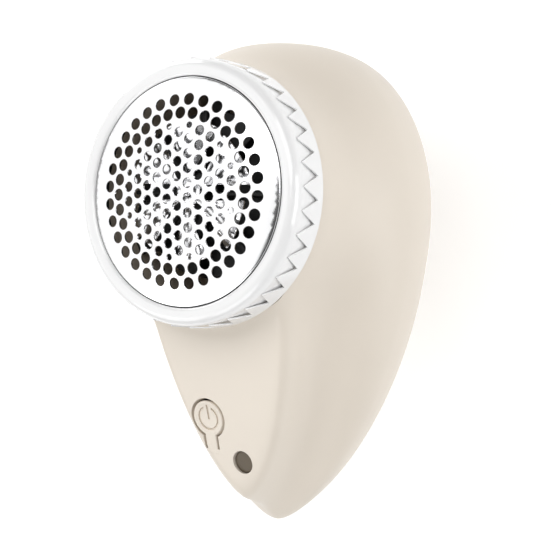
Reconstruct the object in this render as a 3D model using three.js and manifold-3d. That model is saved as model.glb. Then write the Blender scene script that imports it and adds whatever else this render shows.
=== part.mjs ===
// Fabric shaver, lying on its back with the cutting head facing up.
// Units are millimetres. +Z is the axis of the round head, +Y runs from the handle tip to the top
// of the body, and the origin is on the resting plane, straight below the middle of the head.
import * as THREE from 'three';
import { mergeVertices } from 'three/addons/utils/BufferGeometryUtils.js';
import Module from 'manifold-3d';

const wasm = await Module();
wasm.setup();

// ---- driving dimensions ----
const GAP = 0.3; // clearance between neighbouring pieces
const WALL = 2.2; // moulded wall of the two body shells
const ROUND = 40; // sides of a large round piece
const SMALL = 16; // sides of a small round piece

const FOIL_R = 27; // visible radius of the foil
const FOIL_EDGE_Z = 64; // height of the foil's outer edge
const FOIL_DOME_R = 121.8; // radius of the sphere that the foil is pressed to
const FOIL_T = 0.8;
const NECK_R = 30.6; // radius of the body's round neck
const NECK_TOP = 53.4; // height where the neck ends below the ring
const NECK_FLARE = 0.03; // growth of the neck's radius with depth
const NECK_SPARE = 4; // height made above the neck and then cut away
const RING_R = 31.55; // smooth outer radius of the foil ring
const BAND_R = 32.35; // outer radius of the toothed grip band
const BAND_VALLEY = 55.7; // height of the notches between the band's teeth
const BAND_CREST = 62; // height of the band's tooth tips
const BAND_PHASE = 8.17; // turn of the first notch from +X, degrees
const TEETH = 36; // teeth round the grip band
const CHAMBER_R = 28.2; // outer radius of the lint chamber inside the neck
const LINT_R = 24; // outer radius of the lint box
const LINT_TOP = 26; // height of the lint box's open mouth
const BACK_Z = 1.2; // height of the flat back around the lint box
const CUTTER_R = 16.8; // radius of the six-leaf cutter

// Pebble-shaped body: outline and thickness follow T * (s/p)^a * ((1-s)/(1-p))^b along its length
const BODY = {
  tip: -80, top: 39.7, middle: 22.95, tilt: 0.056,
  half: { size: 38.2, a: 0.63, b: 0.381 },
  front: { size: 23.9, a: 0.9, b: 0.364, power: 2 },
  back: { size: 31.9, a: 0.715, b: 0.268, power: 2.2 },
};
// Raised control panel on the front of the handle
const PANEL = { half: 22.5, reach: 74, back: 24, flare: 0.08, under: 14.5, height: 59.5, slope: 0.335 };
const PANEL_ACROSS = 1.45; // roundness of the panel's outline across the handle, 2 for an ellipse
const PANEL_ALONG = 2.2; // roundness of the panel's outline along the handle
const RAY_Z = 20; // height on the head axis that the body is star-shaped about
const FAR = 200; // beyond any surface of the body
const NECK_BLEND = 9; // softness of the fillet where the neck meets the body
const PANEL_BLEND = 5.6; // softness of the fillet where the panel meets the body
const PANEL_EDGE = 4.9; // softness of the panel's own edge
const BACK_EDGE = 10; // softness of the edge round the flat back
// The back cover meets the front shell on this tilted plane
const PARTING = { z: 5.5, slope: -0.05 };

// Keyhole opening of the button tongue: round head, straight neck, and the slot left all round it
const BUTTON = { x: -6.7, y: -54.7, r: 5, neck: 2.25, root: -62.4, slot: 0.6 };
const LENS = { x: 2, y: -65, r: 2.85, low: 34.4, sunk: 0.8 };
const SHAFT_HOLE = 1.3; // radius of every hole that the motor shaft or a screw passes through

// ---- materials ----
const cream = new THREE.MeshStandardMaterial({ color: 0xe6dccf, roughness: 0.45, metalness: 0 });
const white = new THREE.MeshStandardMaterial({ color: 0xf4f4f4, roughness: 0.2, metalness: 0 });
const steel = new THREE.MeshStandardMaterial({ color: 0xe8e8ea, roughness: 0.12, metalness: 1 });
const chamberGrey = new THREE.MeshStandardMaterial({ color: 0x6e6458, roughness: 0.6, metalness: 0 });
const smoke = new THREE.MeshStandardMaterial({ color: 0x807568, roughness: 0.3, metalness: 0 });
const rubber = new THREE.MeshStandardMaterial({ color: 0x3c3a38, roughness: 0.8, metalness: 0 });
const black = new THREE.MeshStandardMaterial({ color: 0x202020, roughness: 0.5, metalness: 0 });
const green = new THREE.MeshStandardMaterial({ color: 0x1f5a3a, roughness: 0.5, metalness: 0 });
const blue = new THREE.MeshStandardMaterial({ color: 0x2f5fa8, roughness: 0.5, metalness: 0 });

// ---- solids ----
// A closed three.js geometry as a manifold solid, turned so that its faces point out
function solid(geometry) {
  geometry.deleteAttribute('normal');
  geometry.deleteAttribute('uv');
  const merged = mergeVertices(geometry);
  const points = merged.attributes.position.array;
  const corner = (i) => new THREE.Vector3().fromArray(points, 3 * i);
  const faces = [];
  let volume = 0;
  for (let i = 0; i < merged.index.count; i += 3) {
    const [a, b, c] = [0, 1, 2].map((k) => merged.index.getX(i + k));
    if (a === b || b === c || a === c) continue;
    faces.push([a, b, c]);
    volume += corner(a).dot(corner(b).cross(corner(c)));
  }
  const triVerts = new Uint32Array(faces.flatMap(([a, b, c]) => (volume > 0 ? [a, b, c] : [a, c, b])));
  const mesh = new wasm.Mesh({ numProp: 3, vertProperties: new Float32Array(points), triVerts });
  mesh.merge();
  return new wasm.Manifold(mesh);
}

function joined(...solids) {
  return solids.reduce((sum, next) => sum.add(next));
}

// The main body of a cut solid, without slivers that the cut left loose
function largest(cut) {
  return cut.decompose().reduce((best, next) => (next.volume() > best.volume() ? next : best));
}

// A turned solid from a closed outline of [radius, height] points
function turned(outline, sides = ROUND) {
  const points = [...outline, outline[0]].map(([r, z]) => new THREE.Vector2(r, z));
  return solid(new THREE.LatheGeometry(points, sides).rotateX(Math.PI / 2));
}

function disc(r, low, high, sides = ROUND) {
  const geometry = new THREE.CylinderGeometry(r, r, high - low, sides).rotateX(Math.PI / 2);
  return solid(geometry.translate(0, 0, (low + high) / 2));
}

function tube(outer, inner, low, high, sides = ROUND) {
  return turned([[inner, low], [outer, low], [outer, high], [inner, high]], sides);
}

function block(x0, x1, y0, y1, z0, z1) {
  const geometry = new THREE.BoxGeometry(x1 - x0, y1 - y0, z1 - z0);
  return solid(geometry.translate((x0 + x1) / 2, (y0 + y1) / 2, (z0 + z1) / 2));
}

function prism(shape, low, high, curveSegments = 12) {
  const settings = { depth: high - low, bevelEnabled: false, curveSegments };
  return solid(new THREE.ExtrudeGeometry(shape, settings).translate(0, 0, low));
}

function circleShape(x, y, r, sides) {
  const corners = Array.from({ length: sides }, (_, i) => (2 * Math.PI * (i + 0.5)) / sides);
  return new THREE.Shape(corners.map((a) => new THREE.Vector2(x + r * Math.cos(a), y + r * Math.sin(a))));
}

// ---- body surface ----
function smoothMax(a, b, softness) {
  const h = Math.max(softness - Math.abs(a - b), 0) / softness;
  return Math.max(a, b) + (h * h * softness) / 4;
}

function smoothMin(a, b, softness) {
  return -smoothMax(-a, -b, softness);
}

function swell({ size, a, b }, s) {
  const peak = a / (a + b);
  return size * (s / peak) ** a * ((1 - s) / (1 - peak)) ** b;
}

function insidePebble(x, y, z) {
  const s = (y - BODY.tip) / (BODY.top - BODY.tip);
  if (s <= 0 || s >= 1) return false;
  const height = z - BODY.middle - BODY.tilt * y;
  const side = height > 0 ? BODY.front : BODY.back;
  const across = Math.abs(x) / swell(BODY.half, s);
  const through = Math.abs(height) / swell(side, s);
  return across ** side.power + through ** side.power < 1;
}

function insidePanelFlank(x, y, z) {
  const grow = PANEL.flare * Math.max(0, PANEL.height + PANEL.slope * y - Math.max(z, RAY_Z));
  const across = Math.abs(x) / (PANEL.half + grow);
  const along = Math.abs(y) / ((y < 0 ? PANEL.reach : PANEL.back) + grow);
  const below = Math.max(0, RAY_Z - z) / PANEL.under;
  return across ** PANEL_ACROSS + along ** PANEL_ALONG + below ** 2 < 1;
}

// Distance along a ray from the middle of the body to where an inside test ends
function reach(inside, d) {
  let low = 0;
  let high = FAR;
  for (let i = 0; i < 24; i += 1) {
    const t = (low + high) / 2;
    if (inside(t * d.x, t * d.y, RAY_Z + t * d.z)) low = t;
    else high = t;
  }
  return low;
}

function bodyReach(d) {
  const level = Math.hypot(d.x, d.y);
  const base = NECK_R + NECK_FLARE * (NECK_TOP - RAY_Z);
  const neck = d.z > 0 ? base / (level + NECK_FLARE * d.z) : base;
  const rise = d.z - PANEL.slope * d.y;
  const panelTop = rise * FAR > PANEL.height - RAY_Z ? (PANEL.height - RAY_Z) / rise : FAR;
  const panel = smoothMin(panelTop, reach(insidePanelFlank, d), PANEL_EDGE);
  const pebble = reach(insidePebble, d);
  const surface = smoothMax(smoothMax(pebble, neck, NECK_BLEND), panel, PANEL_BLEND);
  const floor = d.z < 0 ? (RAY_Z - BACK_Z) / -d.z : FAR;
  const ceiling = d.z > 0 ? (NECK_TOP + NECK_SPARE - RAY_Z) / d.z : FAR;
  return Math.min(smoothMin(surface, floor, BACK_EDGE), ceiling);
}

// The whole body as one closed solid, drawn in by the inset
function bodySolid(inset, around, rows) {
  const points = [0, 0, RAY_Z + bodyReach(new THREE.Vector3(0, 0, 1))];
  for (let row = 1; row < rows; row += 1) {
    const polar = (Math.PI * row) / rows;
    for (let i = 0; i < around; i += 1) {
      const turn = (2 * Math.PI * i) / around;
      const d = new THREE.Vector3().setFromSphericalCoords(1, polar, turn);
      d.set(d.x, d.z, d.y);
      const r = bodyReach(d);
      points.push(r * d.x, r * d.y, RAY_Z + r * d.z);
    }
  }
  points.push(0, 0, RAY_Z - bodyReach(new THREE.Vector3(0, 0, -1)));
  const last = points.length / 3 - 1;
  const at = (row, i) => 1 + (row - 1) * around + (i % around);
  const index = [];
  for (let i = 0; i < around; i += 1) {
    index.push(0, at(1, i), at(1, i + 1), last, at(rows - 1, i + 1), at(rows - 1, i));
    for (let row = 1; row < rows - 1; row += 1) {
      index.push(at(row, i), at(row + 1, i), at(row + 1, i + 1));
      index.push(at(row, i), at(row + 1, i + 1), at(row, i + 1));
    }
  }
  const geometry = new THREE.BufferGeometry();
  geometry.setAttribute('position', new THREE.BufferAttribute(new Float32Array(points), 3));
  geometry.setIndex(index);
  geometry.computeVertexNormals();
  const { position, normal } = geometry.attributes;
  const sign = normal.getZ(0) > 0 ? 1 : -1;
  for (let i = 0; i < position.count; i += 1) {
    const inward = new THREE.Vector3().fromBufferAttribute(normal, i).multiplyScalar(-sign * inset);
    position.setXYZ(i, position.getX(i) + inward.x, position.getY(i) + inward.y, position.getZ(i) + inward.z);
  }
  return solid(geometry);
}

// Everything above (side 1) or below (side -1) the parting plane
function partingHalf(side) {
  const box = new THREE.BoxGeometry(200, 300, 100).translate(0, 0, side * (50 + GAP / 2));
  return solid(box.rotateX(Math.atan(PARTING.slope)).translate(0, 0, PARTING.z));
}

// Keyhole outline of the button: the opening in the shell, or the tongue drawn in by the slot
function keyhole(inset) {
  const { x, y, r, neck, root } = BUTTON;
  const radius = r - inset;
  const half = neck - inset;
  const start = Math.asin(half / radius);
  const shape = new THREE.Shape();
  shape.moveTo(x + half, root + inset);
  shape.lineTo(x + half, y - radius * Math.cos(start));
  shape.absarc(x, y, radius, start - Math.PI / 2, 1.5 * Math.PI - start, false);
  shape.lineTo(x - half, root + inset);
  return shape;
}

const aboveNeck = disc(60, NECK_TOP, 80, SMALL);
const outerBody = bodySolid(0, 54, 30).subtract(aboveNeck);
const bodyWall = outerBody.subtract(bodySolid(WALL, 36, 22));
const buttonSlot = prism(keyhole(0), 30, 60);
const lensHole = prism(circleShape(LENS.x, LENS.y, LENS.r, SMALL), 26, 60);
const neckBore = disc(CHAMBER_R + 0.4, 27, NECK_TOP + 1);
const SOCKET = { half: 4.5, front: -70, back: -63.5, low: 11, high: 14.2 };
const socketHole = block(
  -SOCKET.half - GAP, SOCKET.half + GAP, BODY.tip, SOCKET.front + 2 * WALL, SOCKET.low - GAP, SOCKET.high + GAP,
);
const lintHole = disc(LINT_R + 0.5, -1, 10);
const SCREW_R = 1; // shank of a case screw
const POST_R = 3; // moulded post around a case screw
const POST_H = 5; // height of the back cover's post above the screw's seat
// Each case screw: across, along, and the height of its seat in the back cover
const screwPlaces = [[-10, -31.2, 4], [10, -31.2, 4], [-15.5, -44, 4.5], [15.5, -44, 4.5]];

function post([x, y], low, high, r) {
  return disc(r, low, high, SMALL).translate([x, y, 0]);
}

// ---- shells ----
function frontShell() {
  let shell = bodyWall;
  for (const spot of screwPlaces) {
    const join = spot[2] + POST_H;
    const boss = post(spot, join + GAP, NECK_TOP, POST_R).intersect(outerBody);
    shell = shell.add(boss).subtract(post(spot, join, join + 12, SHAFT_HOLE));
  }
  const cuts = [buttonSlot, lensHole, neckBore, socketHole];
  return largest(cuts.reduce((rest, cut) => rest.subtract(cut), shell.intersect(partingHalf(1))));
}

function rearShell() {
  let cover = bodyWall.intersect(partingHalf(-1)).subtract(lintHole);
  cover = cover.add(tube(LINT_R + 1.9, LINT_R + 0.5, 2.2, 22));
  for (const spot of screwPlaces) {
    cover = cover.add(post(spot, spot[2], spot[2] + POST_H, POST_R));
    cover = cover.subtract(post(spot, -1, spot[2], 2.5)).subtract(post(spot, -1, 30, SHAFT_HOLE));
  }
  return largest(cover);
}

function caseScrew([x, y, seat]) {
  const low = seat - 1.5;
  const outline = [
    [0, low], [2.1, low], [2.1, low + 1.2], [SCREW_R, low + 1.4], [SCREW_R, low + 13], [0, low + 13],
  ];
  return turned(outline, 12).translate([x, y, 0]);
}

// ---- cutting head ----
function foilTop(r) {
  const edge = Math.sqrt(FOIL_DOME_R ** 2 - FOIL_R ** 2);
  return FOIL_EDGE_Z + Math.sqrt(FOIL_DOME_R ** 2 - r ** 2) - edge;
}

// Two rings of holes round a staggered grid of smaller ones, each as across, along and radius
function foilHoles() {
  const holes = [];
  const rings = { count: 32, hole: 1.45, places: [[21.6, 8.9], [18.4, 3.3]] };
  for (const [radius, phase] of rings.places) {
    for (let i = 0; i < rings.count; i += 1) {
      const turn = THREE.MathUtils.degToRad(phase) + (2 * Math.PI * i) / rings.count;
      holes.push([radius * Math.cos(turn), radius * Math.sin(turn), rings.hole]);
    }
  }
  const grid = { pitch: 3.456, hole: 1.25, full: 15.3, last: 16, small: 0.8, smallCircle: 15.6 };
  const phase = THREE.MathUtils.degToRad(3.4);
  const column = (grid.pitch * Math.sqrt(3)) / 2;
  const most = Math.ceil(grid.last / column);
  for (let i = -most; i <= most; i += 1) {
    for (let j = -most; j <= most; j += 1) {
      const spot = new THREE.Vector2(i * column, (j + (Math.abs(i) % 2) / 2) * grid.pitch);
      spot.rotateAround(new THREE.Vector2(), phase);
      const away = spot.length();
      if (away >= grid.full && away < grid.last) {
        holes.push([...spot.setLength(grid.smallCircle), grid.small]);
      } else if (away < grid.full) {
        holes.push([...spot, grid.hole]);
      }
    }
  }
  return holes;
}

// Thin perforated screen: a flat sheet with its holes, then pressed to the dome
function foil() {
  const sheet = circleShape(0, 0, FOIL_R, 64);
  sheet.holes = foilHoles().map(([x, y, r]) => circleShape(x, y, r, 5));
  const geometry = new THREE.ExtrudeGeometry(sheet, { depth: FOIL_T, bevelEnabled: false });
  const place = geometry.attributes.position;
  for (let i = 0; i < place.count; i += 1) {
    const r = Math.hypot(place.getX(i), place.getY(i));
    place.setZ(i, place.getZ(i) - FOIL_T + foilTop(r));
  }
  return solid(geometry);
}

function foilRing() {
  const seat = FOIL_EDGE_Z - FOIL_T - GAP;
  const lip = new THREE.EllipseCurve(29.2, 61.6, RING_R - 29.2, 3, 0, Math.PI / 2).getPoints(6);
  return turned([
    [25.9, seat - 2.6], [29, seat - 2.6], [29, NECK_TOP + GAP], [RING_R - 0.3, NECK_TOP + GAP],
    ...lip.map((p) => [p.x, p.y]),
    [28, 64.4], [FOIL_R + GAP, 63.9], [FOIL_R + GAP, seat], [25.9, seat],
  ]);
}

// Thin band with teeth pointing forwards over the ring
function gripBand() {
  const low = NECK_TOP + GAP;
  const points = [];
  const inner = RING_R + GAP;
  for (let i = 0; i < TEETH * 2; i += 1) {
    const turn = THREE.MathUtils.degToRad(BAND_PHASE) + (Math.PI * i) / TEETH;
    const high = i % 2 ? BAND_CREST : BAND_VALLEY;
    for (const [r, z] of [[inner, low], [BAND_R, low], [BAND_R, high], [inner, high]]) {
      points.push(r * Math.cos(turn), r * Math.sin(turn), z);
    }
  }
  const count = points.length / 3;
  const index = [];
  for (let i = 0; i < TEETH * 2; i += 1) {
    for (let k = 0; k < 4; k += 1) {
      const [a, b] = [4 * i + k, 4 * i + ((k + 1) % 4)];
      const [c, d] = [(b + 4) % count, (a + 4) % count];
      index.push(a, b, c, a, c, d);
    }
  }
  const geometry = new THREE.BufferGeometry();
  geometry.setAttribute('position', new THREE.BufferAttribute(new Float32Array(points), 3));
  geometry.setIndex(index);
  return solid(geometry);
}

// Six sloping leaves pressed from one sheet, on a small hub disc
function cutter() {
  const leaf = new THREE.Shape();
  const half = THREE.MathUtils.degToRad(23);
  leaf.moveTo(4, -1.6);
  leaf.lineTo(CUTTER_R * Math.cos(half), -CUTTER_R * Math.sin(half));
  leaf.absarc(0, 0, CUTTER_R, -half, half, false);
  leaf.lineTo(4, 1.6);
  const hub = tube(6, SHAFT_HOLE, 61.7, 62.5, 24);
  const leaves = Array.from({ length: 6 }, (_, i) => {
    const settings = { depth: 0.6, bevelEnabled: false, curveSegments: 4 };
    const geometry = new THREE.ExtrudeGeometry(leaf, settings).translate(0, 0, -0.3);
    geometry.rotateX(THREE.MathUtils.degToRad(14)).translate(0, 0, 62.1);
    return solid(geometry.rotateZ((Math.PI / 3) * i + Math.PI / 6));
  });
  return joined(hub, ...leaves).subtract(disc(SHAFT_HOLE, 50, 70, SMALL));
}

function impeller() {
  const plate = tube(20, SHAFT_HOLE, 53, 54, 36);
  const hub = tube(5, SHAFT_HOLE, 53, 57.5, 24);
  const vanes = Array.from({ length: 8 }, (_, i) => {
    const geometry = new THREE.BoxGeometry(15.5, 1, 3.5).translate(12, 0, 55.6);
    return solid(geometry.rotateZ((Math.PI / 4) * i));
  });
  return joined(plate, hub, ...vanes);
}

// ---- chamber, motor and lint box ----
const MOTOR_SCREWS = [8, -8]; // places of the two motor screws across the shaver

function motorScrewHoles(low, high) {
  return joined(...MOTOR_SCREWS.map((x) => disc(SHAFT_HOLE, low, high, 12).translate([x, 0, 0])));
}

function chamber() {
  const bore = CHAMBER_R - 1.4;
  return turned([
    [22.4, 28], [24.2, 28], [CHAMBER_R, 33], [CHAMBER_R, 59.8], [bore, 59.8], [bore, 33.8], [22.4, 29.4],
  ]);
}

function motorMount() {
  const plate = tube(12.5, 3.4, 50, 51.6, 32);
  const arms = [90, 210, 330].map((degrees) => {
    const geometry = new THREE.BoxGeometry(15, 4, 1.6).translate(18.9, 0, 50.8);
    return solid(geometry.rotateZ(THREE.MathUtils.degToRad(degrees)));
  });
  return joined(plate, ...arms).subtract(motorScrewHoles(49, 53));
}

function motorScrew(x) {
  const outline = [[0, 47.2], [1, 47.2], [1, 51.8], [1.6, 51.8], [1.6, 52.6], [0, 52.6]];
  return turned(outline, 12).translate([x, 0, 0]);
}

function motorCan() {
  const can = turned([
    [0, 31.5], [12, 31.5], [12, 49], [11.5, 49.7], [3, 49.7], [3, 50.6], [1.4, 50.6], [1.4, 40], [0, 40],
  ], 32);
  return can.subtract(motorScrewHoles(46.8, 52));
}

function lintBox() {
  return turned([
    [0, 0], [LINT_R - 0.8, 0], [LINT_R, 0.8], [LINT_R, LINT_TOP], [LINT_R - 1.5, LINT_TOP],
    [LINT_R - 1.5, 2], [0, 2],
  ]);
}

// ---- handle electronics ----
const BOARD_Z = 28.5;
const BOARD_TOP = BOARD_Z + 1.6;
// The plunger rests clear above the switch, further than the button can press it
const SWITCH = { x: -5.4, y: -54.2, half: 2.25, top: BOARD_TOP + 3.8, lift: 0.8, plunger: 0.8 };

function battery() {
  return block(-10, 10, -58, -36, 16, 24.5);
}

function batteryCradle() {
  const tray = block(-12, 12, -56, -34.6, 13.4, 19);
  return tray.subtract(block(-10.5, 10.5, -60, -35.7, 15.4, 30));
}

function circuitBoard() {
  const outline = [[-2.6, -66], [2.6, -66], [8, -54], [11.5, -37], [-11.5, -37], [-8, -54]];
  return prism(new THREE.Shape(outline.map(([x, y]) => new THREE.Vector2(x, y))), BOARD_Z, BOARD_TOP);
}

function switchBody() {
  const { x, y, half, top } = SWITCH;
  return block(x - half, x + half, y - half, y + half, BOARD_TOP + GAP, top);
}

function switchPlunger() {
  const low = SWITCH.top + SWITCH.lift;
  return post([SWITCH.x, SWITCH.y], low, low + SWITCH.plunger, 1.2);
}

function button() {
  const tongue = bodyWall.intersect(prism(keyhole(BUTTON.slot), 33, 60));
  const low = SWITCH.top + SWITCH.lift + SWITCH.plunger + GAP;
  return tongue.add(post([SWITCH.x, SWITCH.y], low, 40, 1.2));
}

function lens() {
  const disc = prism(circleShape(LENS.x, LENS.y, LENS.r - 0.25, SMALL), LENS.low, 60);
  return bodySolid(LENS.sunk, 60, 32).intersect(disc);
}

function chargingSocket() {
  return block(-SOCKET.half, SOCKET.half, SOCKET.front, SOCKET.back, SOCKET.low, SOCKET.high);
}

function lead(x) {
  const path = new THREE.CatmullRomCurve3([
    new THREE.Vector3(x, -37.5, 24.9), new THREE.Vector3(x, -37.5, 26),
    new THREE.Vector3(x, -40, 26.6), new THREE.Vector3(x, -41, 27.9),
  ]);
  const settings = { steps: 8, extrudePath: path, bevelEnabled: false };
  return solid(new THREE.ExtrudeGeometry(circleShape(0, 0, 0.6, 6), settings));
}

// ---- assembly ----
const shaver = new THREE.Group();

function place(parent, name, manifold, material) {
  const cut = manifold.getMesh();
  const points = [];
  for (let i = 0; i < cut.numVert; i += 1) {
    const at = i * cut.numProp;
    points.push(cut.vertProperties[at], cut.vertProperties[at + 1], cut.vertProperties[at + 2]);
  }
  const geometry = new THREE.BufferGeometry();
  geometry.setAttribute('position', new THREE.Float32BufferAttribute(points, 3));
  geometry.setIndex(Array.from(cut.triVerts));
  geometry.computeVertexNormals();
  const mesh = new THREE.Mesh(geometry, material);
  mesh.name = name;
  parent.add(mesh);
}

const body = new THREE.Group();
place(body, 'front_shell', frontShell(), cream);
place(body, 'rear_shell', rearShell(), cream);
place(body, 'lint_chamber', chamber(), chamberGrey);
place(body, 'lint_seal', tube(LINT_R, LINT_R - 1.6, LINT_TOP + GAP, 28 - GAP), rubber);
place(body, 'motor_mount', motorMount(), black);
place(body, 'motor_can', motorCan(), steel);
place(body, 'motor_end_cap', tube(11.8, 2, 29, 31.2, 32), black);
MOTOR_SCREWS.forEach((x, i) => place(body, `motor_screw_${i + 1}`, motorScrew(x), steel));
screwPlaces.forEach((spot, i) => place(body, `case_screw_${i + 1}`, caseScrew(spot), steel));
place(body, 'battery_pack', battery(), blue);
place(body, 'battery_cradle', batteryCradle(), black);
place(body, 'circuit_board', circuitBoard(), green);
place(body, 'battery_lead_positive', lead(-3), rubber);
place(body, 'battery_lead_negative', lead(3), rubber);
place(body, 'charging_socket', chargingSocket(), steel);
place(body, 'switch_body', switchBody(), black);
place(body, 'status_light', post([LENS.x, LENS.y], BOARD_TOP + GAP, BOARD_TOP + 2, 1.4), white);
place(body, 'indicator_lens', lens(), smoke);
place(body, 'interlock_switch', block(-3.2, 3.2, -36.4, -29.6, 33, 39), black);
shaver.add(body);

const head = new THREE.Group();
place(head, 'foil_ring', foilRing(), white);
place(head, 'grip_band', gripBand(), white);
place(head, 'foil', foil(), steel);
shaver.add(head);

const rotor = new THREE.Group();
place(rotor, 'motor_shaft', disc(1, 41, 63.2, SMALL), steel);
place(rotor, 'impeller', impeller(), black);
place(rotor, 'cutter_spacer', tube(3, 1.3, 57.8, 61.4, SMALL), black);
place(rotor, 'six_leaf_cutter', cutter(), steel);
shaver.add(rotor);

const controls = new THREE.Group();
place(controls, 'power_button', button(), cream);
place(controls, 'switch_plunger', switchPlunger(), rubber);
shaver.add(controls);

place(shaver, 'lint_box', lintBox(), cream);

export default shaver;
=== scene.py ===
"""Fabric shaver: fine moulded surfaces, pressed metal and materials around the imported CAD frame.

Every length in this script is in millimetres, in the CAD frame, until keep() turns it to metres.
"""
import math

import bmesh
import bpy
import numpy as np
from mathutils import Matrix, Vector
from mathutils.geometry import delaunay_2d_cdt


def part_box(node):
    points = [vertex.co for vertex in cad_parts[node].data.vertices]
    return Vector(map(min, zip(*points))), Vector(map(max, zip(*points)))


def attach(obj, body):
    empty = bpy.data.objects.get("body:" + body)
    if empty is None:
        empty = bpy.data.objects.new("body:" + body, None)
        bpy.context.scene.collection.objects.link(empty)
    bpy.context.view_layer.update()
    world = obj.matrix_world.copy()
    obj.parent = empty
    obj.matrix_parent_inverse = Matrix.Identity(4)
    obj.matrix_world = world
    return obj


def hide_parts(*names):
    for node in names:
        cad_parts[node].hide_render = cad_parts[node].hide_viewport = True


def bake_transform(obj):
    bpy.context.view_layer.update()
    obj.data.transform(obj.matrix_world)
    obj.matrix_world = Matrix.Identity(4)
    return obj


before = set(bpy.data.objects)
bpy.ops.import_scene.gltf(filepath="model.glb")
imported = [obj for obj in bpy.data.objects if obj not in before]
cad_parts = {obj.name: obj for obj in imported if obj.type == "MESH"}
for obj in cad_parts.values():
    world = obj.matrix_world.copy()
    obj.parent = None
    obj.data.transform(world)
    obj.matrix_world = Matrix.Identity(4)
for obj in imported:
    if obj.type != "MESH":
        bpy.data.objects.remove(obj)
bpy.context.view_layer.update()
MM = 0.001
TAU = 2 * math.pi


def box(node):
    """Lowest and highest corner of a CAD node, in millimetres."""
    low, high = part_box(node)
    return np.array(low) / MM, np.array(high) / MM


# ---- driving dimensions ----
RING_LOW, RING_HIGH = box("foil_ring")
BAND_LOW, BAND_HIGH = box("grip_band")
CUTTER_R = box("six_leaf_cutter")[1][0]
LENS_LOW_Z = box("indicator_lens")[0][2]
PLUNGER_TOP = box("switch_plunger")[1][2]

GAP = 0.3  # clearance between neighbouring pieces
WALL = 2.2  # moulded wall of the two body shells
FOIL_R = 27.0  # visible radius of the foil
FOIL_EDGE_Z = 64.0  # height of the foil's outer edge
FOIL_DOME_R = 121.8  # radius of the sphere that the foil is pressed to
FOIL_T = 0.4  # thickness of the foil's sheet
NECK_R = 30.6  # radius of the body's round neck
NECK_FLARE = 0.03  # growth of the neck's radius with depth
NECK_TOP = 53.4  # height where the neck ends below the ring
NECK_SPARE = 4.0  # height made above the neck and then cut away
RING_R = 31.55  # smooth outer radius of the foil ring
BAND_VALLEY = 55.7  # height of the notches between the band's teeth
BAND_PHASE = 8.17  # turn of the first notch from +X, degrees
TEETH = 36
SHAFT_HOLE = 1.3  # radius of the hole in what sits on the motor shaft
CHAMBER_R = 28.2  # outer radius of the lint chamber
LINT_R = 24.0  # outer radius of the lint box
BACK_Z = 1.2  # height of the flat back around the lint box

# Pebble-shaped body: outline and thickness follow T * (s/p)^a * ((1-s)/(1-p))^b along its length
TIP, TOP = -80.0, 39.7
MIDDLE, TILT = 22.95, 0.056
HALF = (38.2, 0.63, 0.381)
FRONT, FRONT_POWER = (23.9, 0.9, 0.364), 2.0
BACK, BACK_POWER = (31.9, 0.715, 0.268), 2.2
# Raised control panel on the front of the handle
PANEL_HALF, PANEL_REACH, PANEL_BEHIND = 22.5, 74.0, 24.0
PANEL_ACROSS, PANEL_ALONG = 1.45, 2.2  # roundness of the outline both ways, 2 for an ellipse
PANEL_FLARE, PANEL_UNDER = 0.08, 14.5
PANEL_RUN_OUT = 3.5  # how much more the panel's end slopes out than its sides
PANEL_HEIGHT, PANEL_SLOPE = 59.5, 0.335
RAY_Z = 20.0  # height on the head axis that the body is star-shaped about
NECK_BLEND, PANEL_BLEND, PANEL_EDGE, BACK_EDGE = 9.0, 9.0, 4.9, 10.0
FAR = 200.0  # beyond any surface of the body
PARTING_Z, PARTING_SLOPE = 5.5, -0.05  # tilted plane where the back cover meets the front shell

BUTTON = np.array([-6.7, -54.7])  # middle of the button's round head
BUTTON_R, BUTTON_NECK, BUTTON_ROOT, SLOT = 5.0, 2.25, -62.4, 0.6
LENS = np.array([2.0, -65.0])
LENS_R, LENS_SUNK = 2.85, 0.8
SWITCH = np.array([-5.4, -54.2])  # middle of the switch below the button
SCREWS = [(-10, -31.2, 4.0), (10, -31.2, 4.0), (-15.5, -44, 4.5), (15.5, -44, 4.5)]  # x, y, seat
POST_R, POST_H = 3.0, 5.0  # the back cover's post above a screw's seat
SCREW_WAY_R = 1.3  # hole that a screw's shank goes through


# ---- mesh tools ----
def solid(name, points, faces):
    """A closed mesh object from points and faces, with merged points and outward faces."""
    mesh = bpy.data.meshes.new(name)
    mesh.from_pydata(np.asarray(points, float).tolist(), [], faces)
    work = bmesh.new()
    work.from_mesh(mesh)
    bmesh.ops.remove_doubles(work, verts=work.verts, dist=1e-4)
    bmesh.ops.recalc_face_normals(work, faces=work.faces)
    work.to_mesh(mesh)
    work.free()
    made = bpy.data.objects.new(name, mesh)
    bpy.context.scene.collection.objects.link(made)
    return made


def discard(made):
    """Removes an object and its mesh."""
    mesh = made.data
    bpy.data.objects.remove(made)
    bpy.data.meshes.remove(mesh)


def copy_of(made, name):
    new = bpy.data.objects.new(name, made.data.copy())
    bpy.context.scene.collection.objects.link(new)
    return new


def combine(target, tool, operation="DIFFERENCE", keep_tool=False):
    """Cuts the tool from the target, or joins or intersects them, in place."""
    modifier = target.modifiers.new("combine", "BOOLEAN")
    modifier.solver = "MANIFOLD"
    modifier.operation = operation
    modifier.object = tool
    bpy.context.view_layer.update()
    graph = bpy.context.evaluated_depsgraph_get()
    made = bpy.data.meshes.new_from_object(target.evaluated_get(graph))
    target.modifiers.clear()
    old = target.data
    target.data = made
    bpy.data.meshes.remove(old)
    if not keep_tool:
        discard(tool)
    return target


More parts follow.
